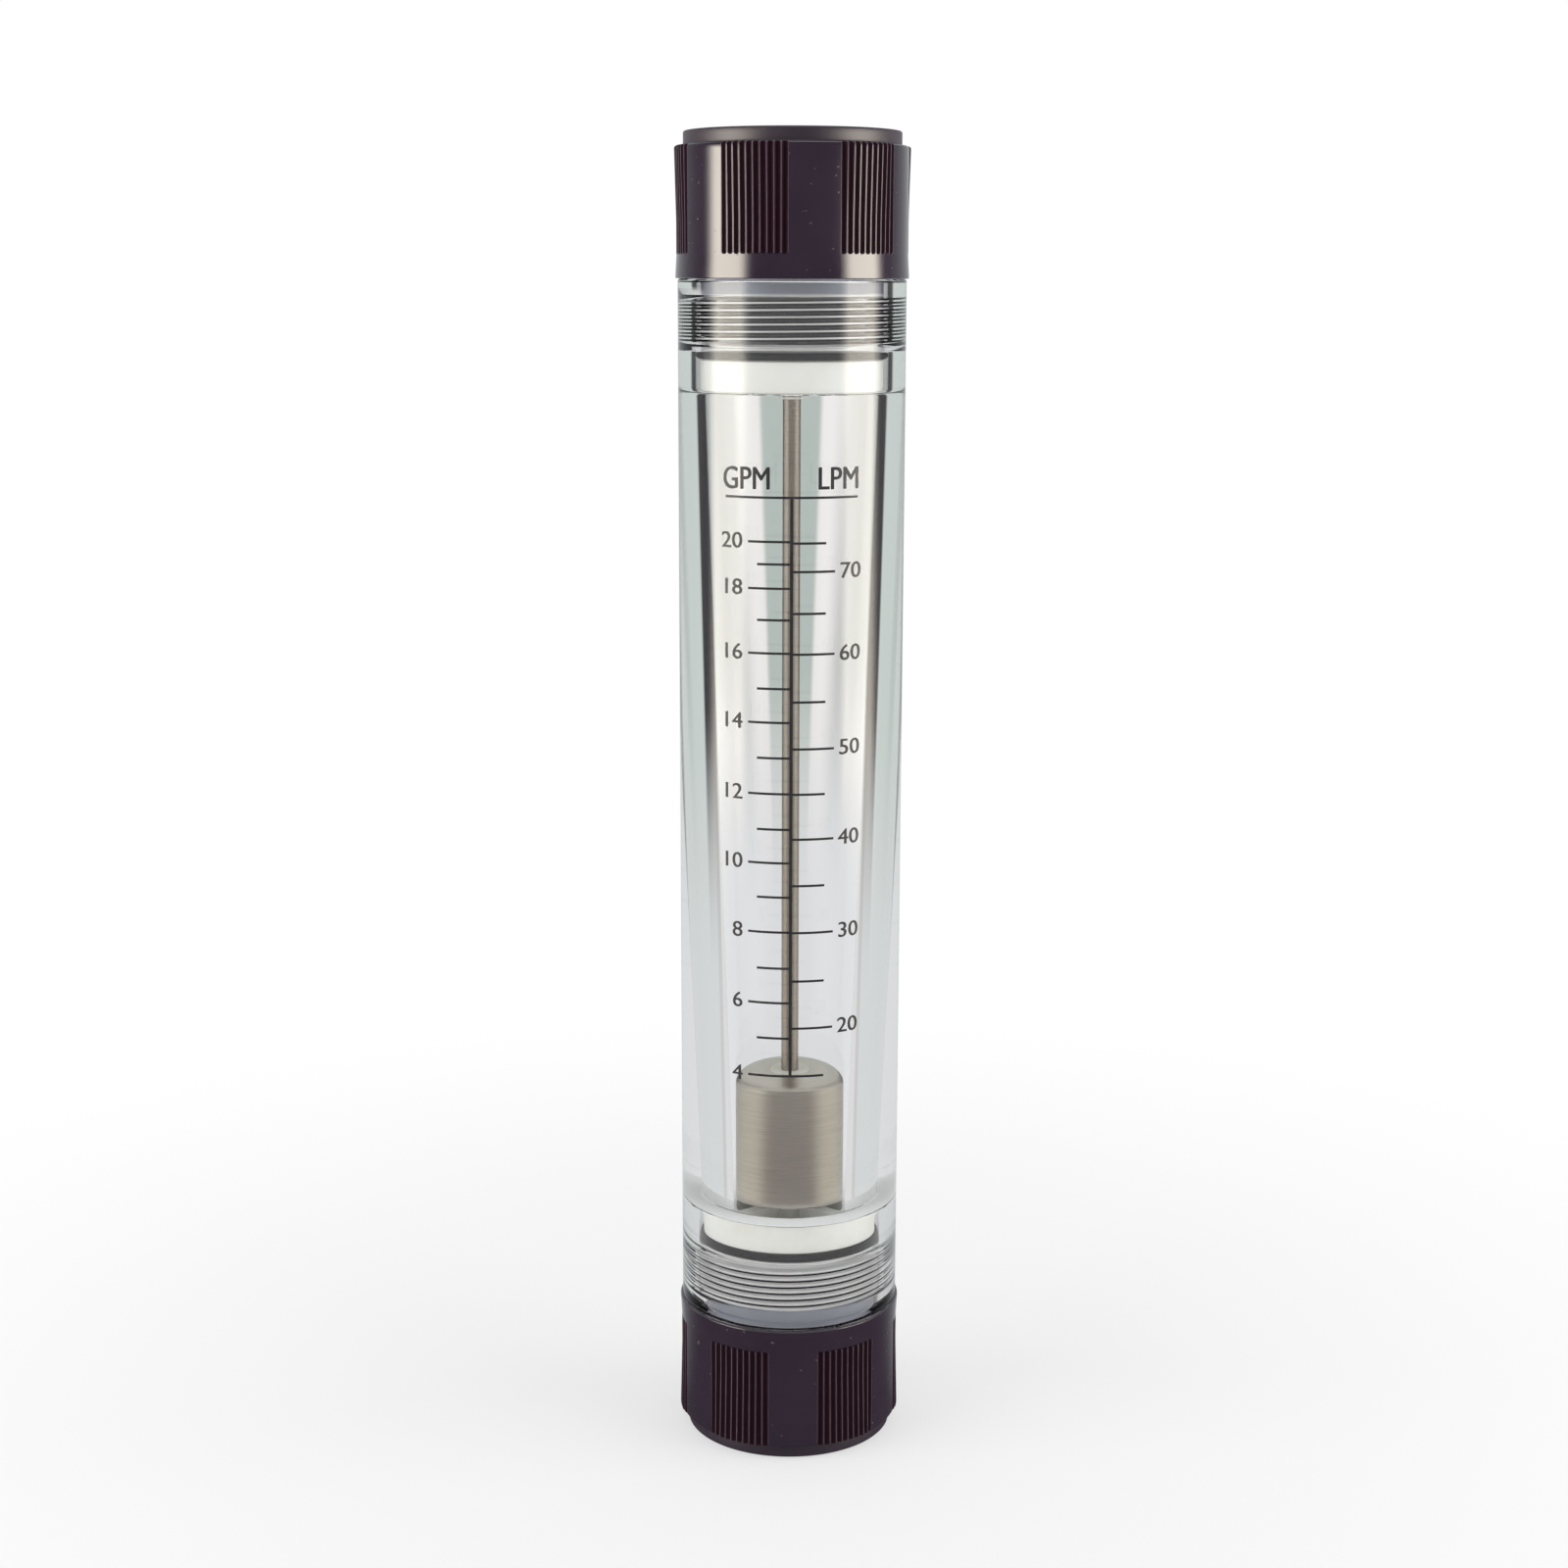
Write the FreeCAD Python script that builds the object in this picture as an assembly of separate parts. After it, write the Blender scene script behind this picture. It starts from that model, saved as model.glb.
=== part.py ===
"""Rotameter: a clear tapered tube with a guided float, two grip caps and their threaded bushes.

Millimetres, +Z up. The origin is the centre of the lower face that the meter stands on.
The scale side of the tube faces -Y. Both ends carry the same set of pieces: each piece is
drawn once in an end frame, where height 0 is the end face of the tube, plus runs into the
tube and minus runs out of it, and is then placed at the lower and at the upper end.
"""

import FreeCAD, Part
import math
import os

V = FreeCAD.Vector

# ---- clear tube ----
tube_outer_r = 25.0
tube_length = 234.2
tube_edge_chamfer = 0.4
bore_lower_r = 13.2             # tapered bore at its lower shoulder
bore_upper_r = 19.2             # tapered bore at its upper shoulder
thread_minor_r = 20.2           # crest of the tube's own thread, M42 x 1.5
pocket_relief = 1.0             # how far the plain pocket behind the thread stands outside it
thread_mouth_chamfer = 0.8

# ---- threaded bush, one at each end ----
bush_shank_length = 3.4         # smooth length between the cap and the thread
bush_thread_length = 12.0
bush_thread_clearance = 0.2     # radial, bush to tube
bush_end_chamfer = 0.6
bush_hex_step = 2.0             # from the shank in to a flat of the hexagon in the cap
bush_collar_step = 1.4          # from the shank in to the round collar in the cap's lip
bush_collar_length = 4.0
pipe_thread_minor_r = 15.145    # G 1 female pipe thread
pipe_thread_length = 19.0
pipe_mouth_chamfer = 1.3
bush_flow_r = 13.0

# ---- grip cap, one at each end ----
cap_height = 31.2               # from the tube's end face to the lip's face
cap_rim_stand = 0.5             # how far the rim that meets the tube stands outside the tube
cap_wall_stand = 0.25           # how far the wall stands outside the tube
cap_rim_height = 5.1            # plain skirt below the grip panels
cap_rim_chamfer = 0.4
cap_lip_step = 1.55             # from the wall in to the lip
cap_lip_height = 3.1
cap_lip_chamfer = 0.4
cap_shoulder_chamfer = 0.6
panel_count = 6
panel_pitch_deg = 60.0
panel_flare = 0.45              # how far a panel stands proud at its outer end
panel_flare_length = 9.0
groove_count = 10               # grooves in one panel
groove_pitch_deg = 3.45
groove_depth = 0.8
groove_land = 0.34              # flat width left between two grooves
groove_runout = 1.1             # length over which a groove closes to a point
lower_cap_turn_deg = -27.9      # panel nearest the front, turned about the axis
upper_cap_turn_deg = -19.25

# ---- sealing ring ----
ring_section = 1.6
ring_width = 2.5
ring_wall_clearance = 0.1       # radial, ring to pocket

# ---- guide holder ----
holder_entry_clearance = 0.2    # radial, holder to the thread that it passes through
holder_height = 7.2
holder_window_r = 12.6
holder_hub_r = 4.6
holder_spokes = 4
holder_spoke_width = 2.6
holder_edge_chamfer = 0.4

# ---- guide rod and its fastening ----
rod_r = 2.0
rod_seat_clearance = 0.05       # radial, rod to hub, nut and stop
rod_tail = 1.5                  # length that stands out of each nut
rod_end_chamfer = 0.4
washer_r = 4.4
washer_thickness = 0.8
washer_clearance = 0.15         # radial, rod to washer
nut_flats = 7.0
nut_height = 3.2

# ---- float stops ----
stop_r = 5.0
stop_height = 1.8
stop_edge_chamfer = 0.3

# ---- float ----
float_clearance = 0.6           # radial, float to the bore at its lower shoulder
float_body_height = 27.2        # from the foot to the reading edge
float_crown_height = 2.0        # shallow cone above the reading edge
float_crown_r = 6.5
float_foot_chamfer = 0.5
float_stop_gap = 0.1            # clearance to a stop at either end of the travel
float_core_clearance = 0.7      # radial, rod to the hole between the two guide bushes
guide_clearance = 0.05          # radial running clearance on the rod
guide_wall = 1.55               # wall of the sleeve
guide_flange_width = 1.0        # from the sleeve out to the edge of the flange
guide_flange_height = 1.0
guide_length = 6.0

# ---- sizes and places that follow from the ones above ----
pocket_r = thread_minor_r + pocket_relief
bush_r = thread_minor_r - bush_thread_clearance
bush_hex_flats = 2 * (bush_r - bush_hex_step)
bush_collar_r = bush_r - bush_collar_step
holder_r = thread_minor_r - holder_entry_clearance
cap_rim_r = tube_outer_r + cap_rim_stand
cap_wall_r = tube_outer_r + cap_wall_stand
cap_lip_r = cap_wall_r - cap_lip_step
float_r = bore_lower_r - float_clearance
float_core_r = rod_r + float_core_clearance
guide_bore_r = rod_r + guide_clearance
guide_sleeve_r = guide_bore_r + guide_wall
guide_flange_r = guide_sleeve_r + guide_flange_width
lower_end_z = cap_height
upper_end_z = lower_end_z + tube_length
bush_inner_end = bush_shank_length + bush_thread_length
ring_end = bush_inner_end + ring_section
shoulder_depth = ring_end + holder_height
stop_top = shoulder_depth + stop_height
float_foot_z = lower_end_z + stop_top + float_stop_gap
float_edge_z = float_foot_z + float_body_height
float_top_z = float_edge_z + float_crown_height
rod_outer_end = ring_end - washer_thickness - nut_height - rod_tail
float_travel = upper_end_z - stop_top - float_stop_gap - float_top_z


def turned(points):
    """Solid of revolution about Z from a closed outline of (radius, height) points."""
    wire = Part.makePolygon([V(r, 0, z) for r, z in points + points[:1]])
    return Part.Face(wire).revolve(V(0, 0, 0), V(0, 0, 1), 360)


def drilled(shape, radius, low, high):
    """The shape with a round hole on its axis between two heights."""
    return shape.cut(Part.makeCylinder(radius, high - low, V(0, 0, low)))


def hexagon_prism(flats, low, high):
    """Upright hexagonal bar, given across its flats."""
    corner_r = flats / 2 / math.cos(math.pi / 6)
    corners = [
        V(corner_r * math.cos(k * math.pi / 3), corner_r * math.sin(k * math.pi / 3), low)
        for k in range(7)
    ]
    return Part.Face(Part.makePolygon(corners)).extrude(V(0, 0, high - low))


def at_lower_end(shape, turn_deg=0.0):
    """Place a piece drawn in the end frame at the lower end of the tube."""
    placed = shape.copy()
    placed.rotate(V(0, 0, 0), V(0, 0, 1), turn_deg)
    placed.translate(V(0, 0, lower_end_z))
    return placed


def at_upper_end(shape, turn_deg=0.0):
    """Place a piece drawn in the end frame, turned end over end, at the upper end."""
    placed = shape.copy()
    placed.rotate(V(0, 0, 0), V(0, 1, 0), 180)
    placed.rotate(V(0, 0, 0), V(0, 0, 1), turn_deg)
    placed.translate(V(0, 0, upper_end_z))
    return placed


def tube_body():
    """Clear tube: round outside, tapered bore, and a threaded pocket at each end."""
    low, high = lower_end_z, upper_end_z
    mouth_r = thread_minor_r + thread_mouth_chamfer

    def pocket(end, inward, bore_r):
        return [
            (mouth_r, end),
            (thread_minor_r, end + inward * thread_mouth_chamfer),
            (thread_minor_r, end + inward * (bush_inner_end - (pocket_r - thread_minor_r))),
            (pocket_r, end + inward * bush_inner_end),
            (pocket_r, end + inward * shoulder_depth),
            (bore_r, end + inward * shoulder_depth),
        ]

    outline = [
        (tube_outer_r - tube_edge_chamfer, low),
        (tube_outer_r, low + tube_edge_chamfer),
        (tube_outer_r, high - tube_edge_chamfer),
        (tube_outer_r - tube_edge_chamfer, high),
    ]
    outline += pocket(high, -1, bore_upper_r)
    outline += pocket(low, 1, bore_lower_r)[::-1]
    return turned(outline)


def bush_root():
    """The part of a bush that the cap is moulded round: a hexagon and a round collar."""
    outer = -cap_height
    hexagon = hexagon_prism(bush_hex_flats, outer + bush_collar_length, 0)
    return hexagon.fuse(Part.makeCylinder(bush_collar_r, bush_collar_length, V(0, 0, outer)))


def threaded_bush():
    """Bush: root held in the cap, shank and thread in the tube, pipe thread at its mouth."""
    outer = -cap_height
    spigot = turned([
        (0, 0),
        (bush_r, 0),
        (bush_r, bush_inner_end - bush_end_chamfer),
        (bush_r - bush_end_chamfer, bush_inner_end),
        (0, bush_inner_end),
    ])
    socket_end = outer + pipe_thread_length
    flow_path = turned([
        (0, outer),
        (pipe_thread_minor_r + pipe_mouth_chamfer, outer),
        (pipe_thread_minor_r, outer + pipe_mouth_chamfer),
        (pipe_thread_minor_r, socket_end),
        (bush_flow_r, socket_end + pipe_thread_minor_r - bush_flow_r),
        (bush_flow_r, bush_inner_end),
        (0, bush_inner_end),
    ])
    return bush_root().fuse(spigot).cut(flow_path).removeSplitter()


def cap_envelope():
    """Outside of the cap with no grip panels on it."""
    outer = -cap_height
    shoulder = outer + cap_lip_height
    return turned([
        (0, 0),
        (cap_rim_r - cap_rim_chamfer, 0),
        (cap_rim_r, -cap_rim_chamfer),
        (cap_wall_r, -cap_rim_height),
        (cap_wall_r, shoulder + cap_shoulder_chamfer),
        (cap_wall_r - cap_shoulder_chamfer, shoulder),
        (cap_lip_r, shoulder),
        (cap_lip_r, outer + cap_lip_chamfer),
        (cap_lip_r - cap_lip_chamfer, outer),
        (0, outer),
    ])


def grip_pad():
    """One raised panel, as a sector centred on the front that flares at its outer end."""
    shoulder = -cap_height + cap_lip_height
    proud_r = cap_wall_r + panel_flare
    root_r = cap_wall_r - groove_depth
    width_deg = groove_count * groove_pitch_deg
    outline = [
        V(root_r, 0, -cap_rim_height),
        V(cap_wall_r, 0, -cap_rim_height),
        V(cap_wall_r, 0, shoulder + panel_flare_length),
        V(proud_r, 0, shoulder + cap_shoulder_chamfer + panel_flare),
        V(proud_r, 0, shoulder + cap_shoulder_chamfer),
        V(proud_r - cap_shoulder_chamfer, 0, shoulder),
        V(root_r, 0, shoulder),
    ]
    face = Part.Face(Part.makePolygon(outline + outline[:1]))
    sector = face.revolve(V(0, 0, 0), V(0, 0, 1), width_deg)
    sector.rotate(V(0, 0, 0), V(0, 0, 1), -90 - width_deg / 2)
    return sector


def grip_groove():
    """Cutter for one groove at the front: a V channel that closes to a point at the skirt."""
    bottom_r = cap_wall_r - groove_depth
    reach = panel_flare + groove_depth
    half_width_at_wall = (cap_wall_r * math.radians(groove_pitch_deg) - groove_land) / 2
    half_width = half_width_at_wall * (groove_depth + reach) / groove_depth
    outside_r = cap_wall_r + reach
    far = -cap_height + cap_lip_height - groove_depth
    near = -cap_rim_height - groove_runout
    section = [V(0, -bottom_r, far), V(half_width, -outside_r, far), V(-half_width, -outside_r, far)]
    channel = Part.Face(Part.makePolygon(section + section[:1])).extrude(V(0, 0, near - far))
    foot = [V(p.x, p.y, near) for p in section]
    rise = groove_runout * (outside_r - bottom_r) / groove_depth
    tip = V(0, -outside_r, near + rise)
    sides = [Part.makePolygon([foot[k], foot[(k + 1) % 3], tip, foot[k]]) for k in range(3)]
    base = Part.makePolygon(foot + foot[:1])
    runout = Part.Solid(Part.makeShell([Part.Face(wire) for wire in sides + [base]]))
    if runout.Volume < 0:
        runout.reverse()
    return channel.fuse(runout)


def end_cap():
    """Grip cap: skirt, panels of upright grooves, shoulder and lip, moulded round the bush."""
    cap = cap_envelope()
    pad = grip_pad()
    groove = grip_groove()
    pads, grooves = [], []
    for panel in range(panel_count):
        panel_turn = panel * panel_pitch_deg
        placed_pad = pad.copy()
        placed_pad.rotate(V(0, 0, 0), V(0, 0, 1), panel_turn)
        pads.append(placed_pad)
        for index in range(groove_count):
            placed = groove.copy()
            offset = (index - (groove_count - 1) / 2) * groove_pitch_deg
            placed.rotate(V(0, 0, 0), V(0, 0, 1), panel_turn + offset)
            grooves.append(placed)
    cap = cap.fuse(pads).cut(grooves)
    return cap.cut(bush_root()).removeSplitter()


def sealing_ring():
    """Rubber ring with bevelled edges, squeezed between the bush and the guide holder."""
    outer_r = pocket_r - ring_wall_clearance
    inner_r = outer_r - ring_width
    bevel = ring_section / 3
    return turned([
        (inner_r + bevel, bush_inner_end),
        (outer_r - bevel, bush_inner_end),
        (outer_r, bush_inner_end + bevel),
        (outer_r, ring_end - bevel),
        (outer_r - bevel, ring_end),
        (inner_r + bevel, ring_end),
        (inner_r, ring_end - bevel),
        (inner_r, bush_inner_end + bevel),
    ])


def guide_holder():
    """Spoked disc that seats on the tube's shoulder and carries the rod in its hub."""
    low, high = ring_end, shoulder_depth
    edge = holder_edge_chamfer
    rim = turned([
        (holder_window_r, low),
        (holder_r - edge, low),
        (holder_r, low + edge),
        (holder_r, high - edge),
        (holder_r - edge, high),
        (holder_window_r, high),
    ])
    holder = rim.fuse(Part.makeCylinder(holder_hub_r, high - low, V(0, 0, low)))
    reach = (holder_window_r + holder_r) / 2
    for k in range(holder_spokes):
        corner = V(0, -holder_spoke_width / 2, low)
        spoke = Part.makeBox(reach, holder_spoke_width, high - low, corner)
        spoke.rotate(V(0, 0, 0), V(0, 0, 1), (k + 0.5) * 360 / holder_spokes)
        holder = holder.fuse(spoke)
    return drilled(holder, rod_r + rod_seat_clearance, low, high).removeSplitter()


def rod_washer():
    """Flat washer under the rod's nut."""
    low, high = ring_end - washer_thickness, ring_end
    washer = Part.makeCylinder(washer_r, high - low, V(0, 0, low))
    return drilled(washer, rod_r + washer_clearance, low, high)


def rod_nut():
    """Hexagon nut with its corners turned off at both faces."""
    high = ring_end - washer_thickness
    low = high - nut_height
    flat_r = nut_flats / 2
    corner_r = flat_r / math.cos(math.pi / 6)
    bevel = (corner_r - flat_r) / 2
    blank = turned([
        (0, low), (flat_r, low), (corner_r, low + bevel),
        (corner_r, high - bevel), (flat_r, high), (0, high),
    ])
    nut = hexagon_prism(nut_flats, low, high).common(blank)
    return drilled(nut, rod_r + rod_seat_clearance, low, high)


def float_stop():
    """Soft ring on the rod that the float lands on."""
    low, high = shoulder_depth, stop_top
    edge = stop_edge_chamfer
    inner_r = rod_r + rod_seat_clearance
    return turned([
        (inner_r, low), (stop_r, low), (stop_r, high - edge), (stop_r - edge, high), (inner_r, high),
    ])


def guide_rod():
    """Straight rod through the float, held in both guide holders."""
    low = lower_end_z + rod_outer_end
    high = upper_end_z - rod_outer_end
    edge = rod_end_chamfer
    return turned([
        (0, low), (rod_r - edge, low), (rod_r, low + edge),
        (rod_r, high - edge), (rod_r - edge, high), (0, high),
    ])


def float_body():
    """Metal float: plain cylinder, reading edge at its top, shallow cone above the edge."""
    foot, edge, top = float_foot_z, float_edge_z, float_top_z
    return turned([
        (guide_flange_r, foot),
        (float_r - float_foot_chamfer, foot),
        (float_r, foot + float_foot_chamfer),
        (float_r, edge),
        (float_crown_r, top),
        (guide_flange_r, top),
        (guide_flange_r, top - guide_flange_height),
        (guide_sleeve_r, top - guide_flange_height),
        (guide_sleeve_r, top - guide_length),
        (float_core_r, top - guide_length),
        (float_core_r, foot + guide_length),
        (guide_sleeve_r, foot + guide_length),
        (guide_sleeve_r, foot + guide_flange_height),
        (guide_flange_r, foot + guide_flange_height),
    ])


def float_guide(face_z, inward):
    """Flanged bush set flush in one end of the float, running on the rod."""
    flange_z = face_z + inward * guide_flange_height
    end_z = face_z + inward * guide_length
    return turned([
        (guide_bore_r, face_z), (guide_flange_r, face_z), (guide_flange_r, flange_z),
        (guide_sleeve_r, flange_z), (guide_sleeve_r, end_z), (guide_bore_r, end_z),
    ])


def build():
    """Every piece of the meter, by node name."""
    nodes = {
        "tube_body": tube_body(),
        "guide_rod": guide_rod(),
        "float": float_body(),
        "float_lower_guide": float_guide(float_foot_z, 1),
        "float_upper_guide": float_guide(float_top_z, -1),
    }
    cap = end_cap()
    nodes["lower_end_cap"] = at_lower_end(cap, lower_cap_turn_deg)
    nodes["upper_end_cap"] = at_upper_end(cap, upper_cap_turn_deg)
    bush = threaded_bush()
    nodes["lower_threaded_bush"] = at_lower_end(bush, lower_cap_turn_deg)
    nodes["upper_threaded_bush"] = at_upper_end(bush, upper_cap_turn_deg)
    paired = {
        "sealing_ring": sealing_ring(),
        "guide_holder": guide_holder(),
        "rod_washer": rod_washer(),
        "rod_nut": rod_nut(),
        "float_stop": float_stop(),
    }
    for name, shape in paired.items():
        nodes["lower_" + name] = at_lower_end(shape)
        nodes["upper_" + name] = at_upper_end(shape)
    return nodes


os.makedirs("parts", exist_ok=True)
for node, shape in build().items():
    solid = shape.Solids[0] if len(shape.Solids) == 1 else shape
    print(node, "valid" if shape.isValid() else "NOT VALID", len(shape.Solids), round(shape.Volume, 1))
    solid.exportStep("parts/" + node + ".step")
print("float travel", round(float_travel, 2), "overall height", upper_end_z + cap_height)
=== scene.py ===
"""Rotameter: a clear metering tube with its threaded bushes, grip caps and guided float.

Each operator builds one piece, or a few like ones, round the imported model. Metres, +Z up.
Both ends carry the same pieces: a piece is drawn with heights from the tube's end face,
plus into the tube and minus out of it, and is placed at the lower and at the upper end.
"""

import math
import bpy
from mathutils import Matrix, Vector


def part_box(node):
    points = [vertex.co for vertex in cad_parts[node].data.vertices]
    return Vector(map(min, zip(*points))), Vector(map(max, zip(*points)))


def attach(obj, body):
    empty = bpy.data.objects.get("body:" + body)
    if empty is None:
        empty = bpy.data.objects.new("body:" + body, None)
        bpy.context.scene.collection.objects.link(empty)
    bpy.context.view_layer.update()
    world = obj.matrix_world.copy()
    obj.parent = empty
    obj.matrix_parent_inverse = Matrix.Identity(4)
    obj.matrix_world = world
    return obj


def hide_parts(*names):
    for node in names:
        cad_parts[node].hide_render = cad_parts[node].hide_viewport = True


bl_info = {
    "name": "Rotameter",
    "version": (1, 0, 0),
    "blender": (4, 5, 0),
    "location": "View3D > Sidebar > Rotameter",
    "description": "Builds a variable-area flow meter and a plain stage for it",
    "category": "Object",
}

from collections import namedtuple

import bmesh
import bpy
from mathutils import Euler, Matrix, Vector

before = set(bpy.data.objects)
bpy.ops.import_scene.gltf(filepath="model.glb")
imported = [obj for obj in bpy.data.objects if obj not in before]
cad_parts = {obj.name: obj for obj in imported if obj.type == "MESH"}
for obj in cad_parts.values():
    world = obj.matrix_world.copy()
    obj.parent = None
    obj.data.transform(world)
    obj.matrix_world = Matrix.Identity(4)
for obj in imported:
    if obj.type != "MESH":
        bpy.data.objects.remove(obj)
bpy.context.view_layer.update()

TUBE_LOW, TUBE_HIGH = (corner.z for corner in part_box("tube_body"))
TUBE_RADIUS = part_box("tube_body")[1].x
CAP_HEIGHT = TUBE_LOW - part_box("lower_end_cap")[0].z
BUSH_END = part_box("lower_threaded_bush")[1].z - TUBE_LOW
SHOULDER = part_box("lower_guide_holder")[1].z - TUBE_LOW
FLOAT_LOW, FLOAT_TOP = (corner.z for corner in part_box("float"))
FLOAT_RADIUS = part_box("float")[1].x
ROD_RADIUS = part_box("guide_rod")[1].x

# Small sizes of the tube, its bushes and its caps, in metres.
TUBE_CHAMFER = 0.0004
THREAD_MOUTH = 0.0008       # chamfer at the mouth of the tube's thread
THREAD_RELIEF = 0.001       # plain length between a thread's end and the bush's inner end
PIPE_MOUTH = 0.0013         # chamfer at the mouth of the pipe socket
COLLAR_LENGTH = 0.004
SEAT_GAP = 0.00005          # keeps the tube's shoulder off the holder's face
PANELS = 6
PANEL_PITCH = 2 * math.pi / PANELS

# Height of each printed mark above the meter's foot.
GPM_MARKS = dict(enumerate((
    0.0917, 0.1004, 0.1085, 0.1164, 0.1246, 0.1325, 0.1402, 0.1477, 0.1556, 0.1635, 0.1713,
    0.1787, 0.1864, 0.1936, 0.2004, 0.2056, 0.2104,
), start=4))
LPM_MARKS = dict(zip(range(15, 80, 5), (
    0.0917, 0.1027, 0.1135, 0.1245, 0.1351, 0.1455, 0.1555, 0.1655, 0.1758, 0.1862, 0.1950,
    0.2040, 0.2101,
)))
HEADER_LINE, HEADER_WIDTH = 0.2198, 0.0300
UNIT_HEIGHT = 0.2236
LONG_LINE, SHORT_LINE = 0.00955, 0.0075

# Each scale: its marks, its side of the middle line, every how many units a mark is long and
# has a numeral, where the numerals stand and how they align, and the unit with its place.
SCALES = (
    (GPM_MARKS, -1, 2, -0.0108, "RIGHT", "GPM", -0.0101),
    (LPM_MARKS, 1, 10, 0.0106, "LEFT", "LPM", 0.0104),
)


def length(name, description, default):
    """A length property in metres."""
    return bpy.props.FloatProperty(
        name=name, description=description, default=default, min=0.0, unit="LENGTH", precision=5
    )


def turning(name, description, degrees):
    """An angle property, with its default in degrees."""
    return bpy.props.FloatProperty(
        name=name, description=description, default=math.radians(degrees), subtype="ANGLE"
    )


def colour(name, description, default):
    """A colour property."""
    return bpy.props.FloatVectorProperty(
        name=name, description=description, default=default, subtype="COLOR", size=3, min=0, max=1
    )


class RotameterSizes(bpy.types.PropertyGroup):
    """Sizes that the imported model's boxes don't give."""

    bore_lower: length("Lower bore radius", "Tapered bore at its lower shoulder", 0.0132)
    bore_upper: length("Upper bore radius", "Tapered bore at its upper shoulder", 0.0192)
    pocket_radius: length("Pocket radius", "Plain pocket between thread and shoulder", 0.0212)
    tube_crest: length("Tube thread crest", "Smallest radius of the tube's thread", 0.02095)
    tube_depth: length("Tube thread depth", "Height of the tube's shallow thread", 0.00025)
    bush_root: length("Bush thread root", "Radius of the bush below its thread", 0.0200)
    thread_start: length("Shank length", "Plain length between cap and thread", 0.0034)
    thread_pitch: length("Thread pitch", "Pitch of the bush thread", 0.0015)
    thread_depth: length("Thread depth", "Height of the bush thread", 0.00085)
    pipe_radius: length("Pipe thread radius", "Minor radius of the female pipe thread", 0.015145)
    pipe_pitch: length("Pipe thread pitch", "Pitch of the pipe thread", 0.002309)
    pipe_depth: length("Pipe thread depth", "Depth of the pipe thread", 0.00148)
    pipe_length: length("Pipe socket length", "Depth of the threaded socket", 0.019)
    flow_radius: length("Flow bore radius", "Bore of the bush behind its socket", 0.013)
    collar_radius: length("Collar radius", "Round collar of the bush in the cap's lip", 0.0186)
    cap_wall: length("Cap wall radius", "Radius of the cap between its panels", 0.02525)
    cap_lip: length("Cap lip radius", "Radius of the lip at the cap's outer end", 0.0237)
    lip_height: length("Lip height", "Height of the lip", 0.0031)
    skirt_height: length("Skirt height", "Plain height between the rim and the panels", 0.0051)
    groove_depth: length("Groove depth", "Depth of a grip groove", 0.0008)
    groove_land: length("Groove land", "Width left between two grooves", 0.00034)
    panel_flare: length("Panel flare", "How far a panel stands proud at its outer end", 0.0004)
    flare_length: length("Flare length", "Length over which a panel stands proud", 0.016)
    ink_film: length("Ink film", "Thickness of the print", 0.00004)
    line_width: length("Line width", "Width of a scale line", 0.00052)
    centre_line_width: length("Centre line width", "Width of the upright line", 0.0007)
    numeral_height: length("Numeral height", "Height of a numeral", 0.0036)
    groove_count: bpy.props.IntProperty(
        name="Grooves", description="Grooves in one grip panel", default=10, min=1
    )
    groove_pitch: turning("Groove pitch", "Angle from groove to groove", 3.45)
    lower_turn: turning("Lower cap turn", "Turn of the lower cap's panels from the front", -27.9)
    upper_turn: turning("Upper cap turn", "Turn of the upper cap's panels from the front", -19.25)


class RotameterFinishes(bpy.types.PropertyGroup):
    """Colours of the pieces."""

    moulding: colour("Moulding", "Colour of the grip caps", (0.0215, 0.0125, 0.024))
    groove: colour(
        "Groove floor", "Colour in the depth of the grip grooves", (0.027, 0.0085, 0.0165)
    )
    steel: colour("Bush steel", "Colour of the threaded bushes", (0.72, 0.71, 0.70))
    rod: colour("Rod steel", "Colour of the guide rod", (0.42, 0.37, 0.315))
    float_steel: colour("Float steel", "Colour of the float", (0.54, 0.50, 0.44))
    plastic: colour("Holder plastic", "Colour of the guide holders", (0.80, 0.79, 0.75))
    guide: colour("Guide plastic", "Colour of the float's guides and stops", (0.66, 0.64, 0.58))
    rubber: colour("Rubber", "Colour of the sealing rings", (0.02, 0.02, 0.022))
    ink: colour("Ink", "Colour of the print", (0.022, 0.021, 0.022))
    floor: colour("Floor", "Colour of the floor", (0.88, 0.88, 0.88))


def rgba(shade):
    """A colour of three numbers as one of four."""
    return (shade[0], shade[1], shade[2], 1.0)


def operator(operation, reflected=False):
    """A method that runs a socket and a value through a Math node, the value first if reflected."""

    def method(self, *others):
        values = (*others, self) if reflected else (self, *others)
        return self.net.math(operation, *values)

    return method


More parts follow.
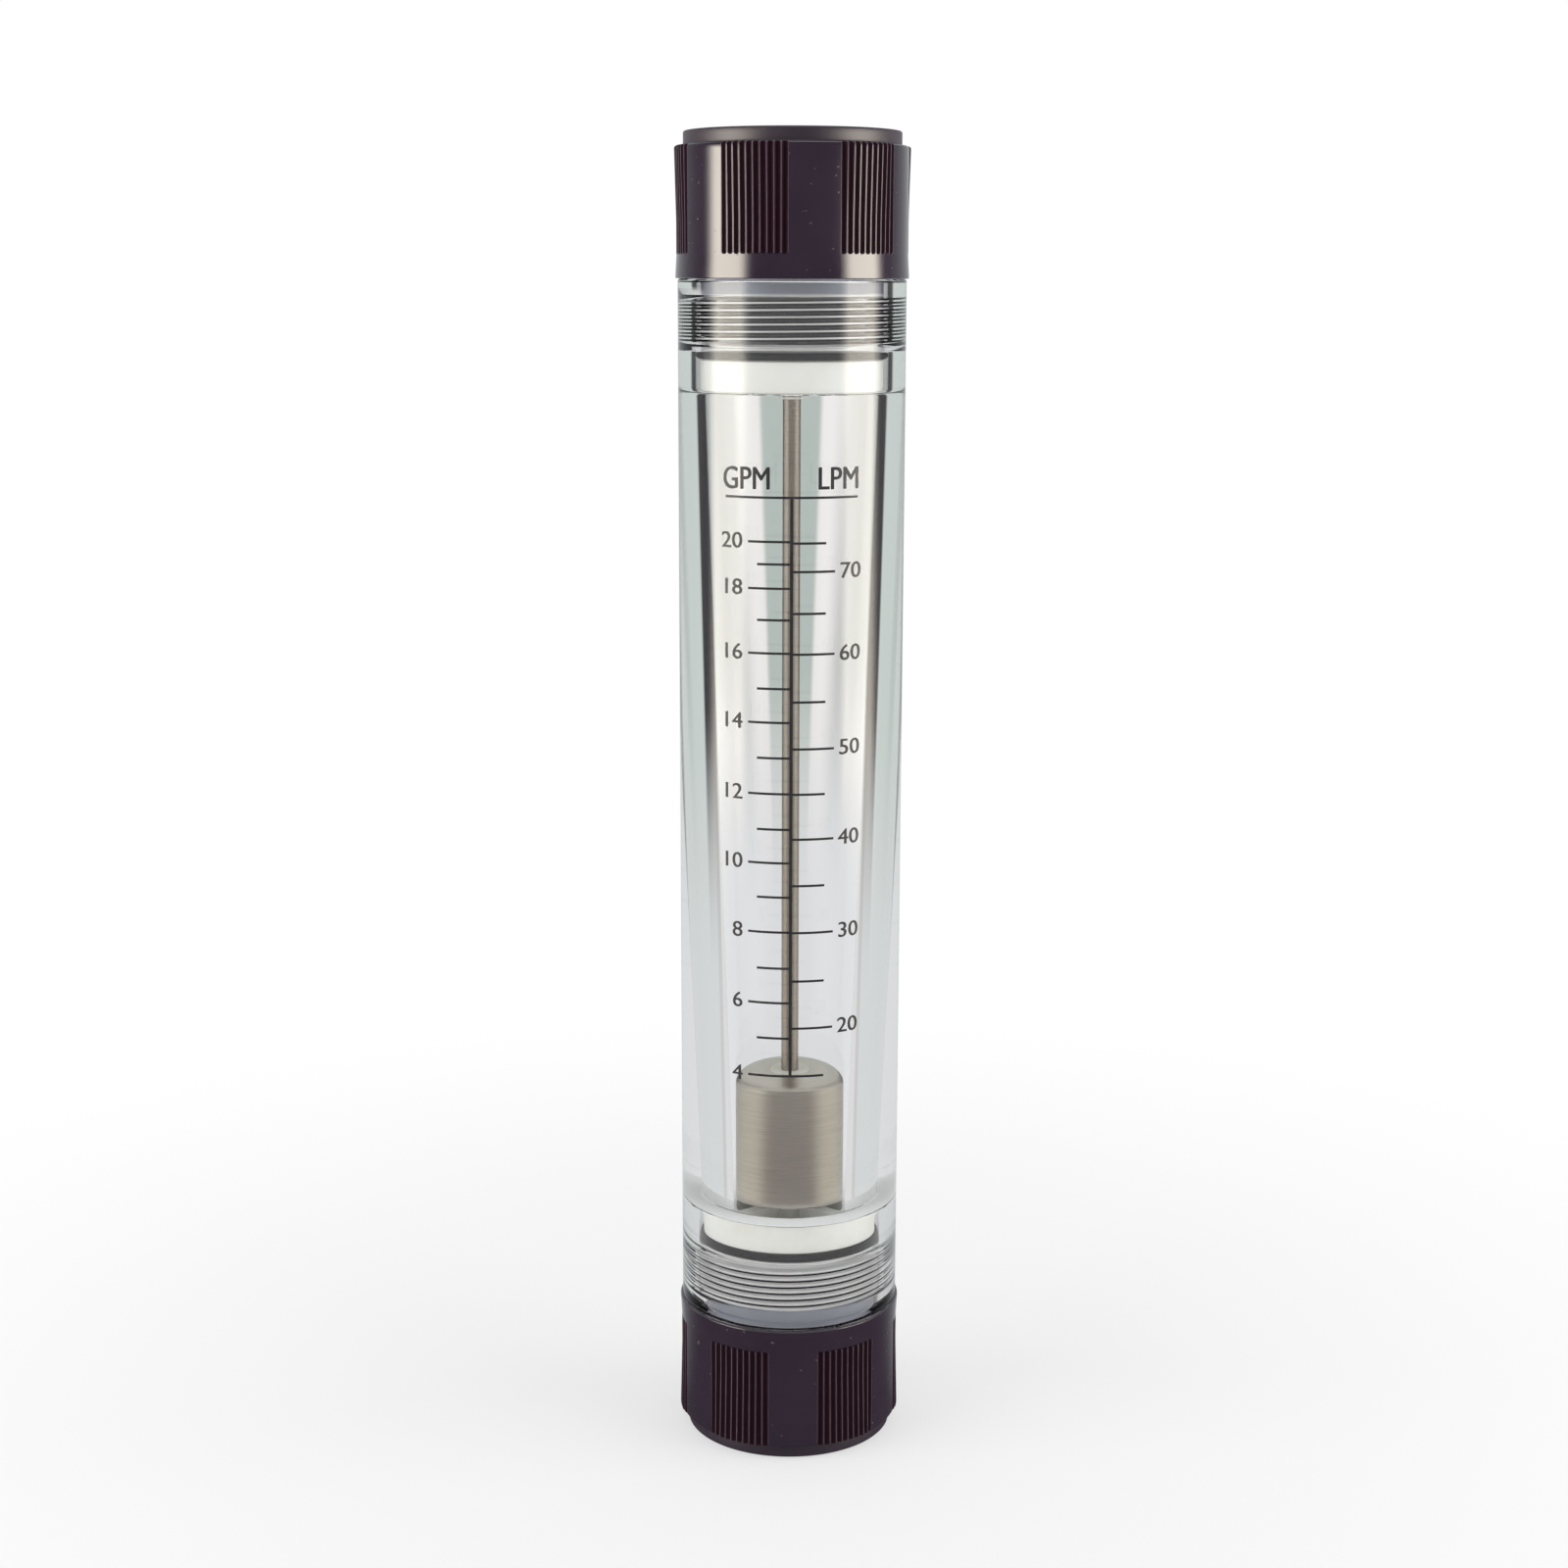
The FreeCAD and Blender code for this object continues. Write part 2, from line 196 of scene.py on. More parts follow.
class Socket:
    """One output in a node tree that takes part in Python arithmetic."""

    def __init__(self, net, out):
        self.net = net
        self.out = out

    def math(self, operation, *values):
        return self.net.math(operation, self, *values)

    __add__, __radd__ = operator("ADD"), operator("ADD", reflected=True)
    __sub__, __rsub__ = operator("SUBTRACT"), operator("SUBTRACT", reflected=True)
    __mul__, __rmul__ = operator("MULTIPLY"), operator("MULTIPLY", reflected=True)
    __truediv__, __rtruediv__ = operator("DIVIDE"), operator("DIVIDE", reflected=True)
    __pow__, __abs__ = operator("POWER"), operator("ABSOLUTE")
    least, most = operator("MINIMUM"), operator("MAXIMUM")
    above = operator("GREATER_THAN")

    def clamped(self):
        return self.least(1.0).most(0.0)

    def smooth(self, low, high):
        """0 at low and before, 1 at high and after, smoothly between."""
        return self.net.add(
            "ShaderNodeMapRange",
            {"interpolation_type": "SMOOTHSTEP"},
            {"Value": self, "From Min": low, "From Max": high},
        )

    def sibling(self, name):
        """Another output of the node that this one comes from."""
        return Socket(self.net, self.out.node.outputs[name])


class Net:
    """A node tree that is written one call at a time."""

    def __init__(self, tree):
        self.tree = tree

    def add(self, kind, settings=None, values=None, output=0):
        """A new node: its settings first, then a value or a link for each socket."""
        node = self.tree.nodes.new(kind)
        for name, setting in (settings or {}).items():
            if name == "stops":
                self.set_stops(node.color_ramp, setting)
            else:
                setattr(node, name, setting)
        for key, value in (values or {}).items():
            socket = node.inputs[key]
            if isinstance(value, Socket):
                self.tree.links.new(value.out, socket)
            else:
                socket.default_value = value
        return Socket(self, node.outputs[output])

    def set_stops(self, ramp, stops):
        while len(ramp.elements) < len(stops):
            ramp.elements.new(1.0)
        for element, (place, shade) in zip(ramp.elements, stops):
            element.position = place
            element.color = rgba(shade)

    def math(self, operation, *values):
        return self.add("ShaderNodeMath", {"operation": operation}, dict(enumerate(values)))

    def blend(self, factor, first, second):
        """A colour between two colours, each a socket or three numbers."""
        first, second = (c if isinstance(c, Socket) else rgba(c) for c in (first, second))
        values = {0: factor, 6: first, 7: second}
        return self.add("ShaderNodeMix", {"data_type": "RGBA"}, values, output=2)

    def vector(self, x=0.0, y=0.0, z=0.0):
        return self.add("ShaderNodeCombineXYZ", None, {0: x, 1: y, 2: z})

    def ray(self, name):
        """What the Light Path node says of a ray."""
        return self.add("ShaderNodeLightPath").sibling(name)

    def split(self, vector):
        x = self.add("ShaderNodeSeparateXYZ", None, {0: vector})
        return x, x.sibling("Y"), x.sibling("Z")


# ---- finishes ----


class Finish(Net):
    """A material in the making: one Principled shader and what varies over the surface."""

    def __init__(self, name, **uniform):
        self.material = bpy.data.materials.new(name)
        self.material.use_nodes = True
        super().__init__(self.material.node_tree)
        self.tree.nodes.clear()
        self.shader = self.tree.nodes.new("ShaderNodeBsdfPrincipled")
        self.output = self.tree.nodes.new("ShaderNodeOutputMaterial")
        self.tree.links.new(self.shader.outputs[0], self.output.inputs["Surface"])
        for key, value in uniform.items():
            self.shader.inputs[key.replace("_", " ")].default_value = value

    def feed(self, name, value):
        """Link a varying value to one of the shader's sockets."""
        self.tree.links.new(value.out, self.shader.inputs[name])

    def place(self, x=1.0, y=1.0, z=1.0):
        """Object coordinates, stretched."""
        coordinates = self.add("ShaderNodeTexCoord").sibling("Object")
        return self.add("ShaderNodeMapping", None, {"Vector": coordinates, "Scale": (x, y, z)})

    def noise(self, place, scale, detail=3.0, roughness=0.55):
        values = {"Vector": place, "Scale": scale, "Detail": detail, "Roughness": roughness}
        return self.add("ShaderNodeTexNoise", None, values)

    def bump(self, height, distance, strength):
        values = {"Height": height, "Distance": distance, "Strength": strength}
        self.feed("Normal", self.add("ShaderNodeBump", None, values))

    def where(self):
        """Object coordinates as three numbers."""
        return self.split(self.add("ShaderNodeTexCoord").sibling("Object"))

    def carried(self, name):
        """A number that the mesh carries."""
        return self.add("ShaderNodeAttribute", {"attribute_name": name}).sibling("Fac")

    def radius(self):
        """Distance from the meter's axis, and the height."""
        x, y, z = self.where()
        return (x * x + y * y) ** 0.5, z

    def mixed(self, share, other):
        """The Principled shader and another one, by the other's share."""
        own = Socket(self, self.shader.outputs[0])
        return self.add("ShaderNodeMixShader", None, {0: share, 1: own, 2: other})

    def show(self, shader):
        """Show this instead of the Principled shader alone."""
        self.tree.links.new(shader.out, self.output.inputs["Surface"])


def cap_moulding(finishes, lip_radius):
    """Glossy near-black moulding with a purple cast, duller on the lands between grooves and
    painted paler there as a highlight, and duller on the lip."""
    net = Finish("black_moulding", IOR=1.85)
    land = net.carried("land")
    cloud = net.noise(net.place(), 90.0, 4.0)
    grain = net.noise(net.place(), 2200.0, 2.0)
    flecks = net.noise(net.place(), 750.0, 1.0).smooth(0.735, 0.76)
    paler = (0.034, 0.021, 0.037)
    base = net.blend(cloud.smooth(0.3, 0.7) * 0.35, finishes.moulding, paler)
    # Painted highlight: the lands between the grooves are painted paler, as lit ridges.
    base = net.blend(land.clamped() * 0.9, base, (0.085, 0.052, 0.068))
    base = net.blend(flecks * 0.3, base, (0.20, 0.17, 0.18))
    net.feed("Base Color", base)
    radius, _ = net.radius()
    lip = 1 - radius.smooth(lip_radius + 0.0001, lip_radius + 0.0004)
    dull = (land.clamped() * 0.6).most(lip * 0.3)
    net.feed("Roughness", 0.10 + cloud * 0.08 + flecks * 0.2 + dull)
    net.bump(grain, 0.00001, 0.35)
    return net.material


def clear_acrylic():
    """Clear polished acrylic. Lamp light and bounced light pass straight through."""
    net = Finish("clear_acrylic", IOR=1.49, Transmission_Weight=1.0)
    haze = net.noise(net.place(), 60.0, 2.0)
    net.feed("Base Color", net.blend(haze, (0.985, 0.992, 0.992), (0.995, 0.998, 1.0)))
    net.feed("Roughness", haze.smooth(0.45, 0.8) * 0.012)
    open_rays = net.ray("Is Shadow Ray").most(net.ray("Is Diffuse Ray"))
    clear = net.add("ShaderNodeBsdfTransparent", None, {"Color": rgba((0.96, 0.97, 0.97))})
    net.show(net.mixed(open_rays, clear))
    return net.material


def machined_acrylic():
    """Acrylic left matt by the tool, with faint rings."""
    net = Finish("machined_acrylic", IOR=1.0)
    radius, _ = net.radius()
    rings = net.noise(net.vector(radius), 5000.0, 3.0)
    net.feed("Base Color", net.blend(rings, (0.86, 0.88, 0.88), (0.95, 0.96, 0.96)))
    net.feed("Roughness", 0.45 + (rings - 0.5) * 0.2)
    return net.material


def turned_metal(
    name, shade, roughness, line_scale, anisotropy=0.0, metallic=1.0, blue_shade_length=0.0, root_shade=0.9
):
    """Turned metal: fine rings round the axis, painted shade in the thread roots, and a slow change
    of tone. Given a length, the metal over that length at each end of the tube gets a painted
    dull blue shade. The root shade is how dark the painted shade in the thread roots is, 0 to 1."""
    net = Finish(name, Metallic=metallic, Anisotropic=anisotropy)
    rings = net.noise(net.place(0.02, 0.02, 1.0), line_scale, 3.0, 0.7)
    cloud = net.noise(net.place(1, 1, 0.6), 45.0, 3.0)
    dark = tuple(c * 0.82 for c in shade)
    base = net.blend(rings.smooth(0.3, 0.7), dark, shade)
    base = net.blend(cloud.smooth(0.45, 0.75) * 0.25, base, dark)
    # Painted shade in the thread roots, darker towards the depth of the thread.
    root = net.carried("root")
    base = net.blend(root.smooth(0.2, 0.8) * root_shade, base, (0.05, 0.05, 0.055))
    # Painted dull blue shade on the metal near each end of the tube.
    if blue_shade_length:
        _, z = net.radius()
        from_end = (TUBE_HIGH - TUBE_LOW) / 2 - abs(z - (TUBE_HIGH + TUBE_LOW) / 2)
        dull = (1 - from_end.smooth(blue_shade_length * 0.85, blue_shade_length)) * from_end.smooth(0, blue_shade_length * 0.1)
        base = net.blend(dull * 0.8, base, (0.17, 0.18, 0.24))
    net.feed("Base Color", base)
    net.feed("Roughness", roughness + (rings - 0.5) * 0.16 + (cloud - 0.5) * 0.1)
    net.bump(rings, 0.000012, 0.5)
    return net.material


def satin_plastic(name, shade, roughness=0.4, ior=1.5):
    """Moulded plastic with a faint mottle and a fine grain."""
    net = Finish(name, IOR=ior)
    cloud = net.noise(net.place(), 130.0, 4.0)
    darker = (shade[0] * 0.93, shade[1] * 0.92, shade[2] * 0.89)
    net.feed("Base Color", net.blend(cloud.smooth(0.3, 0.7), shade, darker))
    net.feed("Roughness", roughness + (cloud - 0.5) * 0.15)
    net.bump(net.noise(net.place(), 1800.0, 2.0), 0.00001, 0.4)
    return net.material


def ink_print(finishes):
    """Screen-printed ink with a slightly uneven film."""
    net = Finish("scale_ink", IOR=1.45)
    cloud = net.noise(net.place(), 420.0, 4.0)
    worn = (0.03, 0.03, 0.033)
    net.feed("Base Color", net.blend(cloud.smooth(0.35, 0.75), finishes.ink, worn))
    net.feed("Roughness", 0.42 + (cloud - 0.5) * 0.2)
    return net.material


# ---- shapes ----


# A corner of a turned outline: its place, how far it is rounded, and its part in a thread.
Knot = namedtuple("Knot", "radius height ease thread lift", defaults=(0.0002, 0, 0.0))


def knots(*points):
    """Knots from other knots, (radius, height) or (radius, height, ease) points."""
    return [Knot(*point) for point in points]


def rows(radius, start, end, step):
    """Knots of a straight wall, a step apart."""
    count = max(1, round(abs(end - start) / step))
    return [Knot(radius, start + (end - start) * k / count, 0.0) for k in range(count + 1)]


def thread_rows(radius, span, pitch, profile, thread):
    """Knots of a wall that carries a thread: a row at each corner of its profile, a pitch apart."""
    start, end = span
    out = []
    for turn in range(-1, math.ceil((end - start) / pitch) + 1):
        for share, lift in profile:
            out.append(Knot(radius, start + (turn + share) * pitch, 0.0, thread, lift))
    return out


def eased(outline, steps=3):
    """A closed outline of knots with its corners rounded, and a row kept straight beside each."""
    most, row_most, row_at = 0.45, 0.475, 2.5
    out = []
    corners = [Vector((knot.radius, knot.height)) for knot in outline]
    for k, (knot, here) in enumerate(zip(outline, corners)):
        before = corners[k - 1] - here
        after = corners[(k + 1) % len(corners)] - here
        plain = here.x < 1e-9 or not knot.ease or before.length < 1e-9 or after.length < 1e-9
        if plain or before.normalized().dot(after.normalized()) < -0.98:
            out.append(knot)
            continue
        start = here + before * min(knot.ease / before.length, most)
        end = here + after * min(knot.ease / after.length, most)
        places = [here + before * min(row_at * knot.ease / before.length, row_most)]
        for step in range(steps + 1):
            t = step / steps
            places.append(start * (1 - t) ** 2 + here * 2 * t * (1 - t) + end * t * t)
        places.append(here + after * min(row_at * knot.ease / after.length, row_most))
        out += [Knot(place.x, place.y) for place in places]
    return out


def from_face(height, upper):
    """Height above the meter's foot of a place given from the tube's lower or upper end face."""
    return TUBE_HIGH - height if upper else TUBE_LOW + height


def at_end(upper, *points):
    """Knots of points drawn from the tube's end face, placed at the lower or the upper end."""
    return [knot._replace(height=from_face(knot.height, upper)) for knot in knots(*points)]


def evenly(count):
    """Angles of evenly spaced columns."""
    return [2 * math.pi * k / count for k in range(count)]


def turned(name, outline, angles=None, threaded=False):
    """A mesh turned about Z from a loop of knots. A threaded one keeps its seam open."""
    angles = angles or evenly(144)
    mesh = bmesh.new()
    turn, thread, lift = (mesh.verts.layers.float.new(word) for word in ("turn", "thread", "lift"))
    if threaded:
        angles = [angle - math.pi for angle in angles] + [math.pi]
    rings = []
    for knot in outline:
        ring = []
        for angle in angles:
            place = (knot.radius * math.cos(angle), knot.radius * math.sin(angle), knot.height)
            vert = mesh.verts.new(place)
            vert[turn] = angle / (2 * math.pi)
            vert[thread], vert[lift] = knot.thread, knot.lift
            ring.append(vert)
        rings.append(ring if threaded else ring + ring[:1])
    for low, high in zip(rings, rings[1:] + rings[:1]):
        for k in range(len(low) - 1):
            mesh.faces.new((low[k], low[k + 1], high[k + 1], high[k]))
    if not threaded:
        closed_up(mesh)
    return finished_object(name, mesh)


def closed_up(mesh):
    """Weld an edit mesh and turn its faces outwards."""
    bmesh.ops.remove_doubles(mesh, verts=mesh.verts, dist=1e-7)
    bmesh.ops.dissolve_degenerate(mesh, edges=mesh.edges, dist=1e-8)
    bmesh.ops.recalc_face_normals(mesh, faces=mesh.faces)


def closed_piece(piece):
    """Weld a piece's mesh and turn its faces outwards."""
    mesh = bmesh.new()
    mesh.from_mesh(piece.data)
    closed_up(mesh)
    mesh.to_mesh(piece.data)
    mesh.free()


def in_scene(name, data):
    """A new object in the scene."""
    thing = bpy.data.objects.new(name, data)
    bpy.context.scene.collection.objects.link(thing)
    return thing


def finished_object(name, mesh):
    """Turn an edit mesh into an object in the scene."""
    data = bpy.data.meshes.new(name)
    mesh.to_mesh(data)
    mesh.free()
    return in_scene(name, data)


def smooth_shaded(piece, angle=32.0):
    """Smooth faces with sharp edges kept."""
    piece.data.shade_smooth()
    piece.data.set_sharp_from_angle(angle=math.radians(angle))


def coat(piece, *materials):
    """Give a piece these materials and no others."""
    piece.data.materials.clear()
    for material in materials:
        piece.data.materials.append(material)


def hand_over(piece, body, slot, *nodes):
    """Give a finished piece its body and hide the nodes that it stands for. The slot is not used."""
    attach(piece, body)
    if nodes:
        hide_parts(*nodes)


# ---- geometry nodes ----


class Shaper(Net):
    """A geometry tree in the making, with its inputs and its geometry."""

    def __init__(self, name, inputs):
        tree = bpy.data.node_groups.new(name, "GeometryNodeTree")
        super().__init__(tree)

        def socket(label, kind, side="INPUT"):
            return tree.interface.new_socket(
                name=label, in_out=side, socket_type="NodeSocket" + kind
            )

        socket("Geometry", "Geometry")
        for label, default in inputs.items():
            kind = "Int" if isinstance(default, int) else "Float"
            socket(label, kind).default_value = default
        socket("Material", "Material")
        socket("Geometry", "Geometry", "OUTPUT")
        self.entry = tree.nodes.new("NodeGroupInput")
        self.position = self.add("GeometryNodeInputPosition")

    def given(self, name):
        return Socket(self, self.entry.outputs[name])

    def kept(self, name):
        """A number that each point carries."""
        return self.add("GeometryNodeInputNamedAttribute", None, {"Name": name})

    def keep(self, geometry, name, value, selection=True):
        """The geometry with a number kept at each selected point."""
        values = {0: geometry, "Selection": selection, "Name": name, "Value": value}
        return self.add("GeometryNodeStoreNamedAttribute", None, values)

    def polar(self):
        """Distance from Z, angle about it, and height, of each point."""
        x, y, z = self.split(self.position)
        return (x * x + y * y) ** 0.5, self.math("ARCTAN2", y, x), z

    def close(self, geometry):
        """End the tree with plain geometry in its material."""
        real = self.add("GeometryNodeRealizeInstances", None, {0: geometry})
        material = self.given("Material")
        coated = self.add("GeometryNodeSetMaterial", None, {0: real, "Material": material})
        leave = self.tree.nodes.new("NodeGroupOutput")
        self.tree.links.new(coated.out, leave.inputs[0])
        return self.tree


def thread_tree():
    """Wind the rows of a turned wall into a right-hand thread, and weld the seam.

    The stored "root" is 1 in the depth of the thread and 0 on its crest and off its ends."""
    net = Shaper("Screw Thread", {
        "Which": 1.0, "Depth": 0.0008, "Pitch": 0.0015, "Start": 0.0, "End": 0.01, "Fade": 0.0008,
    })
    x, y, z = net.split(net.position)
    start, end, fade = net.given("Start"), net.given("End"), net.given("Fade")
    wound = (z + net.given("Pitch") * net.kept("turn")).most(start).least(end)
    run_in = ((wound - start) / fade).clamped()
    run_out = ((end - wound) / fade).clamped()
    radius = (x * x + y * y) ** 0.5
    lift = net.kept("lift")
    ratio = 1 + net.given("Depth") * lift * run_in * run_out / radius
    chosen = (0.25 - abs(net.kept("thread") - net.given("Which"))).above(0)
    moved = net.add("GeometryNodeSetPosition", None, {
        0: net.given("Geometry"), "Selection": chosen,
        "Position": net.vector(x * ratio, y * ratio, wound),
    })
    marked = net.keep(moved, "root", (1 - lift) * run_in * run_out, chosen)
    welded = net.add("GeometryNodeMergeByDistance", None, {
        0: marked, "Selection": chosen, "Distance": 1e-6,
    })
    return net.close(welded)


def grip_tree():
    """Panels of scooped grooves round a cap, flaring towards its outer end."""
    net = Shaper("Grip Panels", {
        "Wall Radius": 0.025, "Grooves": 10, "Groove Pitch": 0.06, "Panel Pitch": PANEL_PITCH,
        "Groove Depth": 0.0008, "Land": 0.0003, "Skirt": 0.0, "Outward": 1.0,
        "Panel Length": 0.023, "Flare": 0.0004, "Flare Length": 0.009, "Turn": 0.0,
    })
    radius, angle, height = net.polar()
    wall, depth = net.given("Wall Radius"), net.given("Groove Depth")
    pitch, panel_pitch = net.given("Groove Pitch"), net.given("Panel Pitch")
    half_count = net.given("Grooves") / 2
    along = (height - net.given("Skirt")) * net.given("Outward")
    panel = ((angle - net.given("Turn")) / panel_pitch + 0.5).math("FLOORED_MODULO", 1.0) - 0.5
    across = panel * panel_pitch / pitch
    in_panel = (half_count + 0.004 - abs(across)).above(0)
    to_outer = net.given("Panel Length") - along
    flare_share = (1 - to_outer / net.given("Flare Length")).clamped()
    from_edge = ((half_count - abs(across)) / 2).clamped()
    flare = net.given("Flare") * flare_share * from_edge * along.above(0)
    half_width = (pitch * wall - net.given("Land")) / 2
    offset = ((across + half_count).math("FRACT") - 0.5) * pitch * wall
    short = (half_width - along).most(0)
    share = (offset * offset + short * short) ** 0.5 / half_width
    floor = wall - depth + depth * share * share + flare
    grooved = (radius + flare).least(floor * in_panel + (1 - in_panel))
    in_length = along.above(-1e-6) * (radius - (wall - 1.3 * depth)).above(0)
    target = grooved * in_length + radius * (1 - in_length)
    x, y, _ = net.split(net.position)
    ratio = target / radius - 1
    deep = ((radius + flare - target) / depth).clamped() * in_length
    # Lands between the grooves, where the moulding paints its highlight.
    land = (share - 1.08).smooth(0.0, 0.1) * in_panel * in_length
    land = land * (1 - short.above(half_width * 0.5))
    marked = net.keep(net.given("Geometry"), "groove", deep)
    marked = net.keep(marked, "land", land)
    moved = net.add("GeometryNodeSetPosition", None, {
        0: marked, "Offset": net.vector(x * ratio, y * ratio),
    })
    return net.close(moved)


def marks_tree():
    """A raised line for each point: it lies between the reaches that the point gives."""
    net = Shaper("Scale Marks", {"Film": 0.00004})
    bar = net.add("GeometryNodeMeshCube", None, {
        "Size": (1.0, 1.0, 1.0), "Vertices X": 24, "Vertices Y": 2, "Vertices Z": 2,
    })
    lines = net.add("GeometryNodeInstanceOnPoints", None, {
        0: net.given("Geometry"), "Instance": bar,
        "Scale": net.vector(net.kept("reach"), net.given("Film"), net.kept("drop")),
    })
    return net.close(lines)


def wrap_tree():
    """Bend a flat print on the XZ plane round a cylinder, its middle at the front."""
    net = Shaper("Wrap Print", {"Radius": 0.025})
    x, y, z = net.split(net.position)
    radius = net.given("Radius")
    angle = x / radius
    out = radius - y
    wrapped = net.vector(out * angle.math("SINE"), -1 * out * angle.math("COSINE"), z)
    flat = net.given("Geometry")
    return net.close(net.add("GeometryNodeSetPosition", None, {0: flat, "Position": wrapped}))


def shaped(piece, *steps):
    """Run geometry trees over a piece and keep the result as its plain mesh."""
    for tree, values in steps:
        modifier = piece.modifiers.new(tree.name, "NODES")
        modifier.node_group = tree
        for item in tree.interface.items_tree:
            if item.in_out == "INPUT" and item.name in values:
                modifier[item.identifier] = values[item.name]
    graph = bpy.context.evaluated_depsgraph_get()
    result = bpy.data.meshes.new_from_object(piece.evaluated_get(graph))
    piece.modifiers.clear()
    old = piece.data
    piece.data = result
    result.name = piece.name
    bpy.data.meshes.remove(old)
    return piece


# ---- pieces ----


def tree_named(name, maker):
    """The tree of that name, made when it isn't there yet."""
    return bpy.data.node_groups.get(name) or maker()


def screw(which, span, depth, pitch, material, fade=0.0008):
    """The step that winds one of a piece's threads."""
    return tree_named("Screw Thread", thread_tree), {
        "Which": which, "Start": span[0], "End": span[1], "Depth": depth, "Pitch": pitch,
        "Fade": fade, "Material": material,
    }


# A thread's profile over one pitch: where a row lies, and how far it stands out.
METRIC_PROFILE = ((0.0, 0.0), (0.16, 0.0), (0.46, 1.0), (0.70, 1.0))
PIPE_PROFILE = ((0.0, 0.0), (0.14, 0.0), (0.5, 1.0), (0.64, 1.0))


def thread_span(sizes, upper):
    """Lowest and highest point of the bush thread at one end."""
    ends = (sizes.thread_start, BUSH_END - THREAD_RELIEF)
    return sorted(from_face(height, upper) for height in ends)


def pipe_span(sizes, upper):
    """Lowest and highest point of the pipe thread at one end."""
    ends = (-CAP_HEIGHT, sizes.pipe_length - CAP_HEIGHT)
    return sorted(from_face(height, upper) for height in ends)


def tube_outline(sizes):
    """Outline of the clear tube, with the rows of its two threads."""
    crest = sizes.tube_crest
    seat = SHOULDER + SEAT_GAP

    def pocket(upper, bore):
        which = 2 if upper else 1
        pitch = sizes.thread_pitch
        thread = thread_rows(crest, thread_span(sizes, upper), pitch, METRIC_PROFILE, which)
        mouth = at_end(
            upper, (crest + THREAD_MOUTH, 0.0, 0.0001), (crest, THREAD_MOUTH, 0.0),
            (crest, sizes.thread_start, 0.0),
        )
        inside = at_end(
            upper, (crest, BUSH_END - THREAD_RELIEF, 0.0), (sizes.pocket_radius, BUSH_END, 0.0001),
            (sizes.pocket_radius, seat, 0.0004), (bore, seat, 0.00025),
        )
        return mouth + (thread[::-1] if upper else thread) + inside

    inner = TUBE_RADIUS - TUBE_CHAMFER
    outside = knots(
        (inner, TUBE_LOW, 0.0001), (TUBE_RADIUS, TUBE_LOW + TUBE_CHAMFER, 0.0001),
        (TUBE_RADIUS, TUBE_HIGH - TUBE_CHAMFER, 0.0001), (inner, TUBE_HIGH, 0.0001),
    )
    return eased(outside + pocket(True, sizes.bore_upper) + pocket(False, sizes.bore_lower)[::-1])


def bush_outline(sizes, upper):
    """Outline of a bush: collar, root, shank and thread outside, socket and bore inside."""
    outer = -CAP_HEIGHT
    socket, socket_end = sizes.pipe_radius, outer + sizes.pipe_length
    root, collar = sizes.bush_root, sizes.collar_radius
    recess, collar_end = root - 0.002, outer + COLLAR_LENGTH
    chamfer = 0.0006
    thread = thread_rows(root, thread_span(sizes, upper), sizes.thread_pitch, METRIC_PROFILE, 1)
    pipe = thread_rows(socket, pipe_span(sizes, upper), sizes.pipe_pitch, PIPE_PROFILE, 2)
    outside = at_end(
        upper, (socket + PIPE_MOUTH, outer, 0.0001), (collar, outer, 0.0001),
        (collar, collar_end, 0.0), (recess, collar_end, 0.0), (recess, 0.0, 0.0),
        (root, 0.0, 0.0), (root, sizes.thread_start, 0.0),
    )
    inside = at_end(
        upper, (root, BUSH_END - THREAD_RELIEF, 0.0), (root, BUSH_END - chamfer, 0.0),
        (root - chamfer, BUSH_END, 0.0002), (sizes.flow_radius, BUSH_END, 0.0003),
        (sizes.flow_radius, socket_end + socket - sizes.flow_radius, 0.0002),
        (socket, socket_end, 0.0),
    )
    mouth = at_end(upper, (socket, outer + PIPE_MOUTH, 0.0))
    if upper:
        return eased(outside + thread[::-1] + inside + pipe + mouth)
    return eased(outside + thread + inside + pipe[::-1] + mouth)


def cap_outline(sizes, upper):
    """Outline of a cap with rows enough for its grip panels, hollow where the bush sits."""
    outer = -CAP_HEIGHT
    shoulder, collar_end = outer + sizes.lip_height, outer + COLLAR_LENGTH
    rim = TUBE_RADIUS + 0.0005
    wall = sizes.cap_wall
    skirt = -sizes.skirt_height
    fine_row, coarse_row, coarse_start = 0.0002, 0.0014, 0.002
    fine = rows(wall, skirt, skirt - coarse_row, fine_row)
    coarse = rows(wall, skirt - coarse_start, shoulder + coarse_row, coarse_row)
    rounding = 0.0006
    edge = [
        Knot(wall - rounding * (1 - math.cos(a)), shoulder + rounding * (1 - math.sin(a)), 0.0)
        for a in (0.0, 0.4, 0.8, 1.2, math.pi / 2)
    ]
    hair = 0.00001
    seat, collar = sizes.bush_root + hair, sizes.collar_radius + hair
    return eased(at_end(
        upper, (seat, 0.0, 0.0), (rim, 0.0, 0.0004), (rim - hair, -0.0006, 0.0),
        (wall, skirt + fine_row, 0.0), *fine, *coarse, *edge, (wall - 0.001, shoulder, 0.0),
        (sizes.cap_lip, shoulder, 0.00025), (sizes.cap_lip, outer, 0.0005),
        (collar, outer, 0.0001), (collar, collar_end, 0.0), (seat, collar_end, 0.0),
    ))


